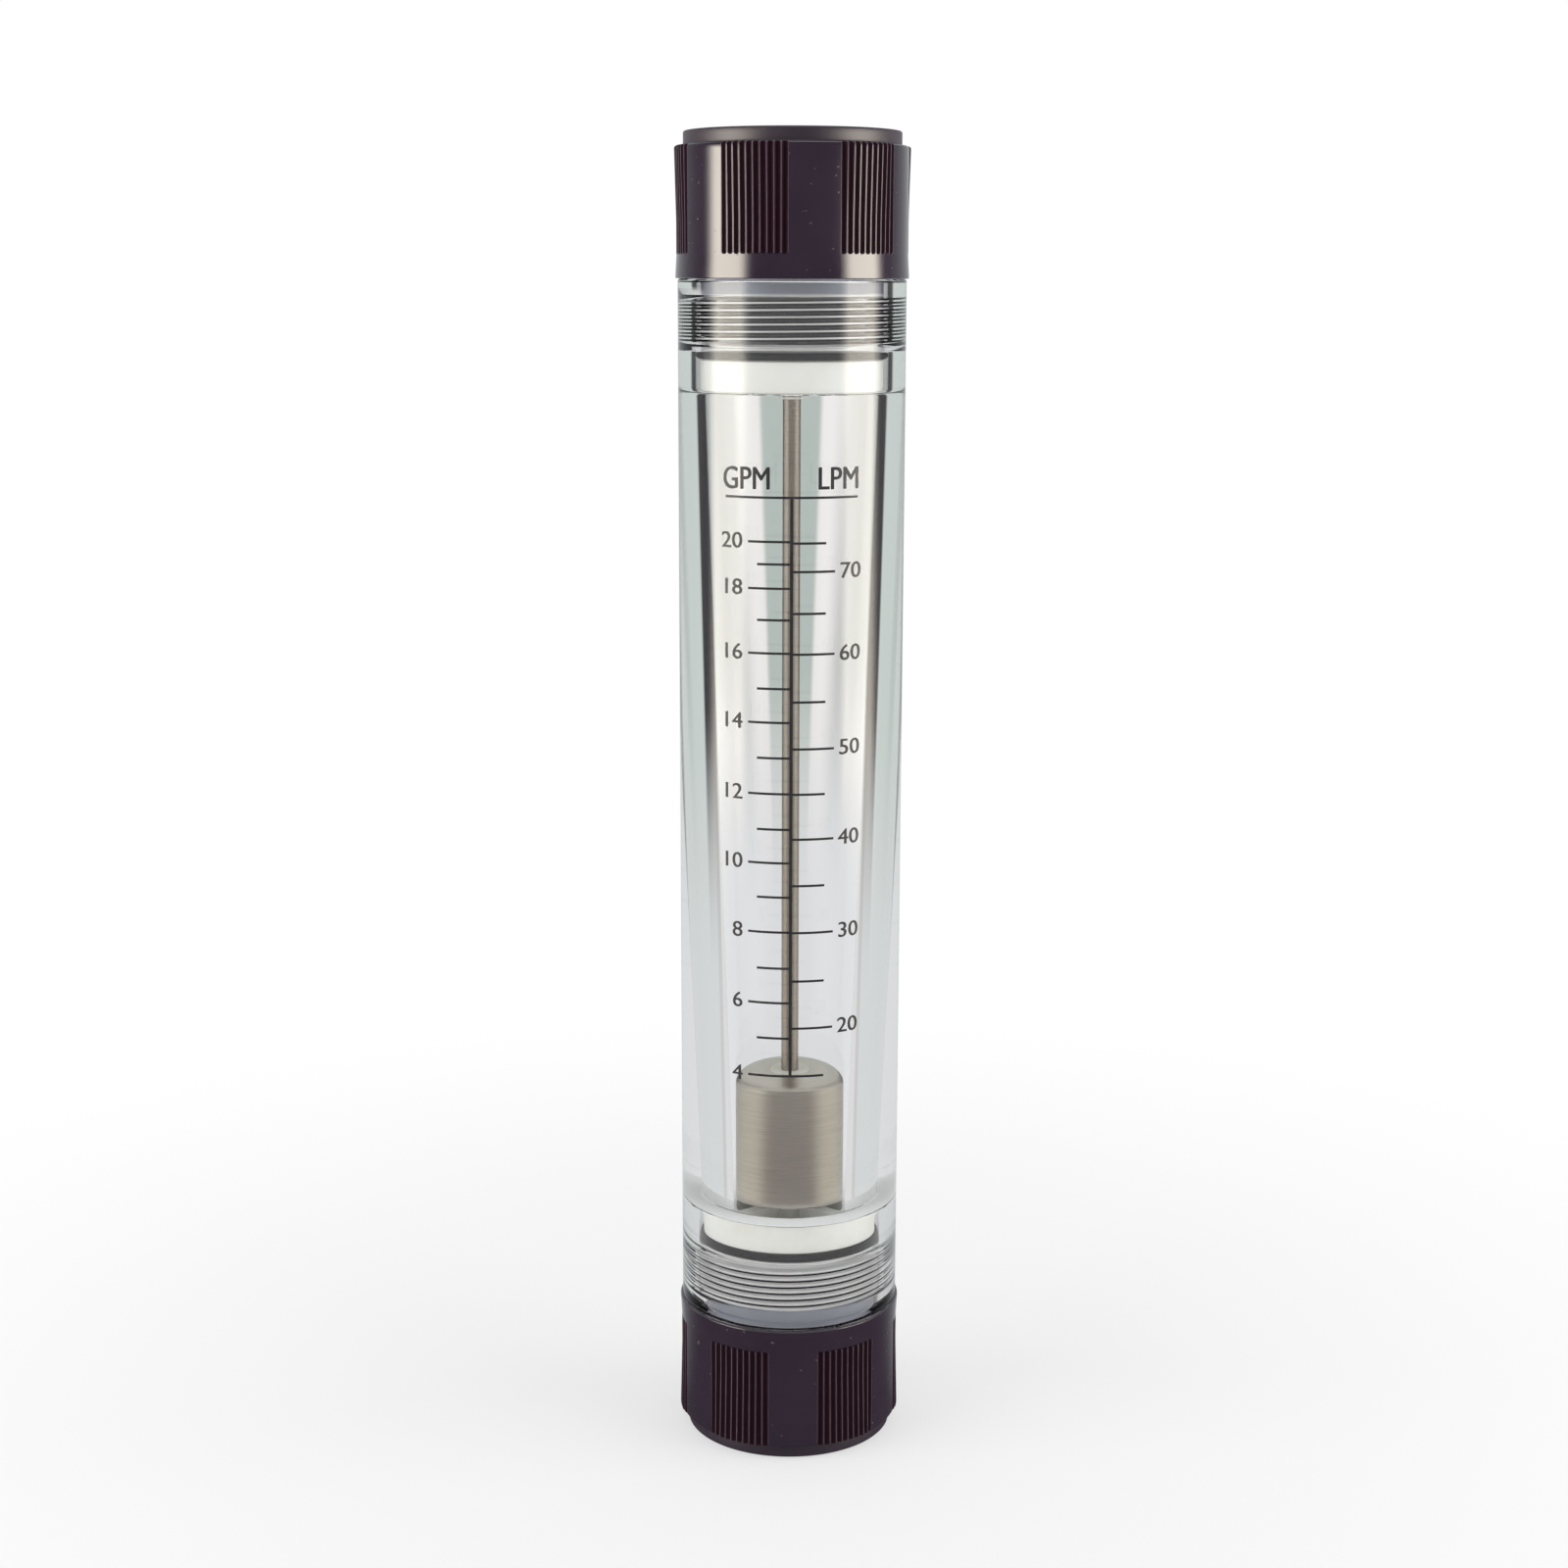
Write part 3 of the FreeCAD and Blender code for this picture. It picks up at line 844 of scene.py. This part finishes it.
def cap_angles(sizes, turn):
    """Columns of a cap: eight to a groove in the panels, a few between them."""
    shares = (0.0, 0.1, 0.2, 0.34, 0.5, 0.66, 0.8, 0.9)
    half = sizes.groove_count * sizes.groove_pitch / 2
    gap = PANEL_PITCH - 2 * half
    beside = 0.0006
    angles = []
    for panel in range(PANELS):
        middle = -math.pi / 2 + turn + panel * PANEL_PITCH
        for groove in range(sizes.groove_count):
            start = middle - half + groove * sizes.groove_pitch
            angles += [start + share * sizes.groove_pitch for share in shares]
        angles += [middle + half, middle + half + beside]
        angles += [middle + half + gap * k / 9 for k in range(1, 9)]
        angles.append(middle + half + gap - beside)
    return angles


class ROTAMETER_OT_tube(bpy.types.Operator):
    """Build the clear tube with its tapered bore and a thread at each end"""

    bl_idname = "rotameter.tube"
    bl_label = "Clear Tube"

    def execute(self, context):
        sizes = context.scene.rotameter_sizes
        tube = turned("metering_tube", tube_outline(sizes), evenly(160), threaded=True)
        clear = clear_acrylic()
        steps = [
            screw(which, thread_span(sizes, upper), sizes.tube_depth, sizes.thread_pitch, clear)
            for which, upper in ((1.0, False), (2.0, True))
        ]
        closed_piece(shaped(tube, *steps))
        smooth_shaded(tube, 24.0)
        coat(tube, clear, machined_acrylic())
        for face in tube.data.polygons:
            inner = face.center.xy.length < sizes.pocket_radius
            level = abs(face.normal.z) > 0.9
            shoulder = TUBE_LOW + BUSH_END < face.center.z < TUBE_HIGH - BUSH_END
            face.material_index = 1 if inner and level and shoulder else 0
        hand_over(tube, "meter", "clear_acrylic", "tube_body")
        return {"FINISHED"}


class ROTAMETER_OT_bushes(bpy.types.Operator):
    """Build the threaded bush of each end"""

    bl_idname = "rotameter.bushes"
    bl_label = "Threaded Bushes"

    def execute(self, context):
        sizes = context.scene.rotameter_sizes
        shade = context.scene.rotameter_finishes.steel
        # The lower bush is a lighter copy of the same steel, painted light as from the white floor
        # below: less metal, and lighter painted shade in its thread roots.
        for upper, end, metallic, root_shade in (
            (False, "lower", 0.08, 0.42), (True, "upper", 0.45, 0.9)
        ):
            steel = turned_metal(
                end + "_bush_steel", shade, 0.34, 9000.0, metallic=metallic,
                blue_shade_length=sizes.thread_start, root_shade=root_shade,
            )
            bush = turned(end + "_bush", bush_outline(sizes, upper), threaded=True)
            span, pitch = thread_span(sizes, upper), sizes.thread_pitch
            outside = screw(1.0, span, sizes.thread_depth, pitch, steel)
            low, high = pipe_span(sizes, upper)
            span = (low, high - PIPE_MOUTH) if upper else (low + PIPE_MOUTH, high)
            inside = screw(2.0, span, sizes.pipe_depth, sizes.pipe_pitch, steel, fade=0.0016)
            closed_piece(shaped(bush, outside, inside))
            smooth_shaded(bush, 24.0)
            coat(bush, steel)
            hand_over(bush, "meter", "bush_steel", end + "_threaded_bush")
        return {"FINISHED"}


class ROTAMETER_OT_caps(bpy.types.Operator):
    """Build the grip cap of each end with its panels of grooves"""

    bl_idname = "rotameter.caps"
    bl_label = "Grip Caps"

    def execute(self, context):
        sizes = context.scene.rotameter_sizes
        finishes = context.scene.rotameter_finishes
        moulding = cap_moulding(finishes, sizes.cap_lip)
        scooped = satin_plastic("groove_moulding", finishes.groove, 0.5, 1.25)
        grip = tree_named("Grip Panels", grip_tree)
        for upper, end in ((False, "lower"), (True, "upper")):
            turn = sizes.upper_turn if upper else sizes.lower_turn
            cap = turned(end + "_cap", cap_outline(sizes, upper), cap_angles(sizes, turn))
            values = {
                "Wall Radius": sizes.cap_wall, "Grooves": sizes.groove_count,
                "Groove Pitch": sizes.groove_pitch, "Groove Depth": sizes.groove_depth,
                "Land": sizes.groove_land, "Flare": sizes.panel_flare,
                "Flare Length": sizes.flare_length, "Outward": 1.0 if upper else -1.0,
                "Skirt": from_face(-sizes.skirt_height, upper),
                "Panel Length": CAP_HEIGHT - sizes.lip_height - sizes.skirt_height,
                "Turn": turn - math.pi / 2, "Material": moulding,
            }
            shaped(cap, (grip, values))
            coat(cap, moulding, scooped)
            depth = cap.data.attributes["groove"].data
            for face in cap.data.polygons:
                deep = sum(depth[v].value for v in face.vertices) / len(face.vertices)
                face.material_index = 1 if deep > 0.12 else 0
            smooth_shaded(cap, 38.0)
            hand_over(cap, "meter", "black_moulding", end + "_end_cap")
        return {"FINISHED"}


class ROTAMETER_OT_inner_pieces(bpy.types.Operator):
    """Finish the seals, guide holders, stops and rod fastenings of both ends"""

    bl_idname = "rotameter.inner_pieces"
    bl_label = "Seals, Holders and Fastenings"

    def execute(self, context):
        finishes = context.scene.rotameter_finishes
        rod_metal = turned_metal("rod_steel", finishes.rod, 0.3, 5000.0)
        by_kind = {
            "sealing_ring": satin_plastic("seal_rubber", finishes.rubber, 0.6),
            "guide_holder": satin_plastic("white_plastic", finishes.plastic, 0.35),
            "float_stop": satin_plastic("stop_plastic", finishes.guide, 0.45),
            "rod_washer": rod_metal,
            "rod_nut": rod_metal,
        }
        for end in ("lower", "upper"):
            for kind, material in by_kind.items():
                coat(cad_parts[f"{end}_{kind}"], material)
        coat(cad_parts["guide_rod"], rod_metal)
        return {"FINISHED"}


class ROTAMETER_OT_float(bpy.types.Operator):
    """Build the turned metal float and finish its guides"""

    bl_idname = "rotameter.float"
    bl_label = "Float"

    def execute(self, context):
        finishes = context.scene.rotameter_finishes
        flange, sleeve, core = 0.0046, 0.0036, 0.0027
        thick, reach = 0.001, 0.006
        crown, crown_edge = 0.0065, FLOAT_TOP - 0.002
        round_in, round_up = 0.0021, 0.0013
        shoulder = []
        for k in range(7):
            turn = math.pi / 2 * k / 6
            radius = FLOAT_RADIUS - round_in * (1 - math.cos(turn))
            shoulder.append(Knot(radius, crown_edge + round_up * math.sin(turn), 0.0))
        outline = knots(
            (flange, FLOAT_LOW, 0.0001), (FLOAT_RADIUS, FLOAT_LOW, 0.0006),
            *shoulder, (crown, FLOAT_TOP, 0.0006),
            (flange, FLOAT_TOP, 0.0001), (flange, FLOAT_TOP - thick, 0),
            (sleeve, FLOAT_TOP - thick, 0), (sleeve, FLOAT_TOP - reach, 0),
            (core, FLOAT_TOP - reach, 0), (core, FLOAT_LOW + reach, 0),
            (sleeve, FLOAT_LOW + reach, 0), (sleeve, FLOAT_LOW + thick, 0),
            (flange, FLOAT_LOW + thick, 0),
        )
        body = turned("float_body", eased(outline))
        smooth_shaded(body)
        metal = turned_metal("float_steel", finishes.float_steel, 0.3, 4200.0, anisotropy=0.5)
        coat(body, metal)
        hand_over(body, "float", "float_steel", "float")
        plastic = satin_plastic("guide_plastic", finishes.guide, 0.45)
        for end in ("lower", "upper"):
            coat(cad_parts[f"float_{end}_guide"], plastic)
        return {"FINISHED"}


def flat_word(text, size, x, z, align, width):
    """A word as thin flat letters on the XZ plane, thickened sideways, cut into upright strips."""
    curve = bpy.data.curves.new(text, "FONT")
    curve.body = text
    curve.size = size
    curve.align_x = align
    curve.align_y = "CENTER"
    curve.extrude = 0.5
    curve.resolution_u = 4
    word = in_scene(text, curve)
    bpy.context.view_layer.update()
    letters = bpy.data.meshes.new_from_object(word)
    bpy.data.objects.remove(word)
    mesh = bmesh.new()
    film = bpy.context.scene.rotameter_sizes.ink_film
    bold = 0.016
    for layer, shift in enumerate((-bold, 0.0, bold)):
        known = len(mesh.verts)
        mesh.from_mesh(letters)
        mesh.verts.ensure_lookup_table()
        for vert in mesh.verts[known:]:
            across, up, out = vert.co
            across = across * width + shift * size
            vert.co = (x + across, -out * film * (1 + 0.04 * layer), z + up + shift * size * 0.3)
    bmesh.ops.remove_doubles(mesh, verts=mesh.verts, dist=1e-8)
    low = min(vert.co.x for vert in mesh.verts)
    high = max(vert.co.x for vert in mesh.verts)
    strip = 0.0005
    for k in range(1, int((high - low) / strip) + 1):
        bmesh.ops.bisect_plane(
            mesh, geom=mesh.verts[:] + mesh.edges[:] + mesh.faces[:], dist=1e-7,
            plane_co=(low + strip * k, 0, 0), plane_no=(1, 0, 0),
        )
    bmesh.ops.triangulate(mesh, faces=mesh.faces)
    return mesh


class ROTAMETER_OT_scale(bpy.types.Operator):
    """Print the two flow scales on the front of the tube"""

    bl_idname = "rotameter.scale"
    bl_label = "Flow Scales"

    def execute(self, context):
        sizes = context.scene.rotameter_sizes
        ink = ink_print(context.scene.rotameter_finishes)
        bars, words, units = [], [], []
        for marks, side, every, numeral_x, align, unit, unit_x in SCALES:
            units.append((unit, unit_x, UNIT_HEIGHT, "CENTER"))
            for value, z in marks.items():
                numbered = value % every == 0
                line = LONG_LINE if numbered else SHORT_LINE
                bars.append((side * line / 2, z, line, sizes.line_width))
                if numbered:
                    words.append((str(value), numeral_x, z, align))
        low = min(GPM_MARKS.values())
        bars.append((0, HEADER_LINE, HEADER_WIDTH, sizes.line_width))
        bars.append((0, (HEADER_LINE + low) / 2, sizes.centre_line_width, HEADER_LINE - low))
        lines = bmesh.new()
        reach = lines.verts.layers.float.new("reach")
        drop = lines.verts.layers.float.new("drop")
        for x, z, across, tall in bars:
            vert = lines.verts.new((x, 0, z))
            vert[reach], vert[drop] = across, tall
        scale = finished_object("scale_print", lines)
        marker = tree_named("Scale Marks", marks_tree)
        shaped(scale, (marker, {"Film": sizes.ink_film, "Material": ink}))
        everything = bmesh.new()
        everything.from_mesh(scale.data)
        for text, x, z, align in words + units:
            taller, width = (1.9, 0.82) if align == "CENTER" else (1.36, 1.1)
            word = flat_word(text, sizes.numeral_height * taller, x, z, align, width)
            data = bpy.data.meshes.new(text)
            word.to_mesh(data)
            word.free()
            everything.from_mesh(data)
            bpy.data.meshes.remove(data)
        everything.to_mesh(scale.data)
        everything.free()
        wrap = tree_named("Wrap Print", wrap_tree)
        shaped(scale, (wrap, {"Radius": TUBE_RADIUS + sizes.ink_film * 0.6, "Material": ink}))
        hand_over(scale, "meter", "clear_acrylic")
        return {"FINISHED"}


# ---- stage ----


def seen_rays(net):
    """1 for rays that look at a thing, in person or by way of gloss or glass."""
    seen = net.ray("Is Camera Ray").most(net.ray("Is Glossy Ray"))
    return seen.most(net.ray("Is Transmission Ray"))


def mirrored_rays(net):
    """1 for rays that gloss, metal or the inside of the glass has turned back."""
    return net.ray("Glossy Depth").above(0.5)


GREY, PALE, DARK = (0.46, 0.52, 0.49), (0.60, 0.66, 0.63), (0.02, 0.015, 0.02)
LEVEL, WHITE = (0.69, 0.71, 0.71), (0.82, 0.82, 0.80)


def bands(*spans):
    """Ramp stops of even bands: where each starts and ends, and its tone."""
    return [stop for start, end, tone in spans for stop in ((start, tone), (end, tone))]


# Painted tones round the meter from straight behind it (0) to straight before it (1), near by
# and on the far side of the floor and on the wall: painted reflections as the tube's own walls
# turn them back, and as metal inside the tube mirrors them.
WALL_NEAR = bands(
    (0.0, 0.335, LEVEL), (0.35, 0.37, (0.60, 0.60, 0.59)), (0.39, 1.0, (0.74, 0.74, 0.74))
)
WALL_FAR = bands((0.0, 0.225, PALE), (0.25, 0.365, DARK), (0.395, 1.0, WHITE))
METAL_NEAR = bands(
    (0.0, 0.23, (0.90, 0.92, 0.92)), (0.25, 0.28, (0.52, 0.51, 0.51)),
    (0.31, 0.42, (0.66, 0.66, 0.65)), (0.50, 0.67, (1.0, 0.97, 0.89)),
    (0.79, 1.0, (0.40, 0.37, 0.37)),
)
METAL_FAR = bands((0.0, 0.19, PALE), (0.215, 0.33, DARK)) + [
    (0.36, (0.70, 0.72, 0.74)), (0.76, WHITE), (0.80, (0.50, 0.50, 0.49)), (1.0, (0.50, 0.50, 0.49)),
]


def surround_light(net, x, y, far, far_wall):
    """A painted emission for the studio round the meter: white in person, a painted shade darker
    through the glass with a painted grey strip straight behind it, and dark on gloss with two
    pale strips that are the soft boxes' painted reflections. "far" is 0 near the meter and 1
    away from it, and "far_wall" is the same for the tube's own walls."""
    round_z = net.math("ARCTAN2", abs(x), y) / math.pi
    glass = net.ray("Is Transmission Ray")
    inside = net.ray("Transmission Depth").above(0.5)
    past_wall = net.ray("Transmission Depth").above(2.5)
    mirrored = mirrored_rays(net)
    # Painted through the glass: a grey strip straight behind the meter, and the floor and wall
    # darker aside and near by.
    middle = (1 - round_z.smooth(0.022, 0.028)) * far * glass
    aside = round_z.smooth(0.035, 0.07)
    far_paper = net.blend(aside, (0.88, 0.85, 0.83), (0.52, 0.52, 0.51))
    paper = net.blend(far, (0.77, 0.77, 0.79), far_paper)
    through = net.blend(middle, net.blend(glass, (1, 1, 1), paper), GREY)
    tones = [
        net.add("ShaderNodeValToRGB", {"stops": stops}, {0: round_z})
        for stops in (WALL_NEAR, WALL_FAR, METAL_NEAR, METAL_FAR)
    ]
    by_wall = net.blend(far_wall, tones[0], tones[1])
    by_metal = net.blend(far, tones[2], tones[3])
    # Painted reflection of the room on gloss in open air: dark before the meter, pale behind it.
    behind = 1 - round_z.smooth(0.10, 0.50)
    in_open_air = net.blend(behind, (0.10, 0.09, 0.10), (0.62, 0.65, 0.66))
    turned_back = net.blend(inside, in_open_air, net.blend(past_wall, by_wall, by_metal))
    # Painted reflections of the two soft boxes, as warm strips on gloss.
    shifted = round_z + 0.035 * x.above(0)
    strips = shifted.smooth(0.46, 0.56) * (1 - shifted.smooth(0.70, 0.79)) * far * mirrored
    warm = net.blend(strips * (1 - inside), turned_back, (1.0, 0.93, 0.80))
    strength = 1 + strips * (0.6 * past_wall + 6.5 * (1 - inside))
    light = net.blend(mirrored, through, warm)
    values = {0: light, "Scale": strength}
    scaled = net.add("ShaderNodeVectorMath", {"operation": "SCALE"}, values)
    return net.add("ShaderNodeEmission", None, {"Color": scaled})


class ROTAMETER_OT_stage(bpy.types.Operator):
    """Set up the floor, the surround, the lamps, the world and the camera"""

    bl_idname = "rotameter.stage"
    bl_label = "Stage"

    def execute(self, context):
        self.lay_floor(context)
        self.stand_surround()
        self.light_world(context)
        self.hang_lamps()
        self.place_camera(context)
        context.scene.view_settings.view_transform = "Standard"
        return {"FINISHED"}

    def lay_floor(self, context):
        """A wide floor, a little below the meter's foot."""
        mesh = bmesh.new()
        radius, gap = 30.0, 0.0003
        bmesh.ops.create_circle(mesh, cap_ends=True, segments=96, radius=radius)
        bmesh.ops.translate(mesh, verts=mesh.verts, vec=(0, 0, -gap))
        floor = finished_object("floor", mesh)
        net = Finish("pale_floor", Roughness=0.9)
        shade = context.scene.rotameter_finishes.floor
        mottle = net.noise(net.place(), 3.0, 4.0)
        net.feed("Base Color", net.blend(mottle * 0.3, shade, (0.9, 0.9, 0.9)))
        x, y, _ = net.where()
        distance = (x * x + y * y) ** 0.5
        # Gloss and glass see the floor as painted studio light and reflections; the camera sees it
        # evenly white.
        paper = (0.55 + 0.45 * distance.smooth(0.06, 0.35)).most(mirrored_rays(net))
        glow = surround_light(net, x, y, distance.smooth(0.35, 1.0), distance.smooth(0.30, 0.75))
        net.show(net.mixed(paper * seen_rays(net), glow))
        floor.data.materials.append(net.material)

    def stand_surround(self):
        """A round wall of painted studio light and reflections, which only gloss and glass show."""
        mesh = bmesh.new()
        radius, height = 1.6, 2.6
        bmesh.ops.create_cone(
            mesh, segments=96, radius1=radius, radius2=radius, depth=height, cap_ends=False
        )
        bmesh.ops.translate(mesh, verts=mesh.verts, vec=(0, 0, height / 2))
        wall = finished_object("surround", mesh)
        net = Finish("surround_paper")
        x, y, z = net.where()
        low = 1 - z.smooth(0.4, 0.7)
        glow = surround_light(net, x, y, low, low)
        net.show(glow)
        wall.data.materials.append(net.material)
        wall.visible_camera = wall.visible_diffuse = False
        wall.visible_shadow = wall.visible_volume_scatter = False

    def light_world(self, context):
        world = bpy.data.worlds.new("studio")
        world.use_nodes = True
        context.scene.world = world
        net = Net(world.node_tree)
        net.tree.nodes.clear()
        tone = net.blend(seen_rays(net), (0.55, 0.55, 0.55), (1, 1, 1))
        sky = net.add("ShaderNodeBackground", None, {"Color": tone})
        leave = net.tree.nodes.new("ShaderNodeOutputWorld")
        net.tree.links.new(sky.out, leave.inputs["Surface"])

    def hang_lamps(self):
        """Two soft boxes that light the meter and don't show in gloss or glass."""
        height, distance, centre, radiance = 0.62, 0.9, 0.36, 3.4
        aim = Vector((0, 0, 0.2))
        for side, azimuth, width in (("left", -64, 0.80), ("right", 73, 0.94)):
            data = bpy.data.lights.new(side + "_softbox", "AREA")
            data.shape = "RECTANGLE"
            data.size, data.size_y = width, height
            data.energy = radiance * math.pi * width * height
            lamp = in_scene(side + "_softbox", data)
            lamp.visible_glossy = lamp.visible_transmission = False
            turn = math.radians(azimuth)
            spot = Vector((distance * math.sin(turn), -distance * math.cos(turn), centre))
            facing = (aim - spot).to_track_quat("-Z", "Y").to_matrix().to_4x4()
            lamp.matrix_world = Matrix.Translation(spot) @ facing

    def place_camera(self, context):
        """A camera in front of the meter that looks a little down."""
        data = bpy.data.cameras.new("camera")
        data.lens, data.sensor_width = 58.6, 36.0
        camera = in_scene("camera", data)
        down, lean = 11.3, 0.15
        tilt = Euler((math.radians(90 - down), 0, 0)).to_matrix()
        roll = Matrix.Rotation(math.radians(lean), 3, "Z")
        place = Matrix.Translation((-0.0015, -0.568, 0.2664))
        camera.matrix_world = place @ (tilt @ roll).to_4x4()
        context.scene.camera = camera


STEPS = (
    ROTAMETER_OT_tube,
    ROTAMETER_OT_bushes,
    ROTAMETER_OT_caps,
    ROTAMETER_OT_inner_pieces,
    ROTAMETER_OT_float,
    ROTAMETER_OT_scale,
    ROTAMETER_OT_stage,
)


class ROTAMETER_PT_sidebar(bpy.types.Panel):
    """The steps that build the meter, and their sizes and colours"""

    bl_idname = "ROTAMETER_PT_sidebar"
    bl_label = "Rotameter"
    bl_space_type = "VIEW_3D"
    bl_region_type = "UI"
    bl_category = "Rotameter"

    def draw(self, context):
        for step in STEPS:
            self.layout.operator(step.bl_idname)
        for settings in (context.scene.rotameter_sizes, context.scene.rotameter_finishes):
            box = self.layout.box()
            for name in settings.__annotations__:
                box.prop(settings, name)


CLASSES = (RotameterSizes, RotameterFinishes, *STEPS, ROTAMETER_PT_sidebar)


def register():
    for cls in CLASSES:
        bpy.utils.register_class(cls)
    bpy.types.Scene.rotameter_sizes = bpy.props.PointerProperty(type=RotameterSizes)
    bpy.types.Scene.rotameter_finishes = bpy.props.PointerProperty(type=RotameterFinishes)


def unregister():
    del bpy.types.Scene.rotameter_finishes
    del bpy.types.Scene.rotameter_sizes
    for cls in reversed(CLASSES):
        bpy.utils.unregister_class(cls)


def main():
    register()
    for step in STEPS:
        group, name = step.bl_idname.split(".")
        getattr(getattr(bpy.ops, group), name)()


if __name__ == "__main__":
    main()
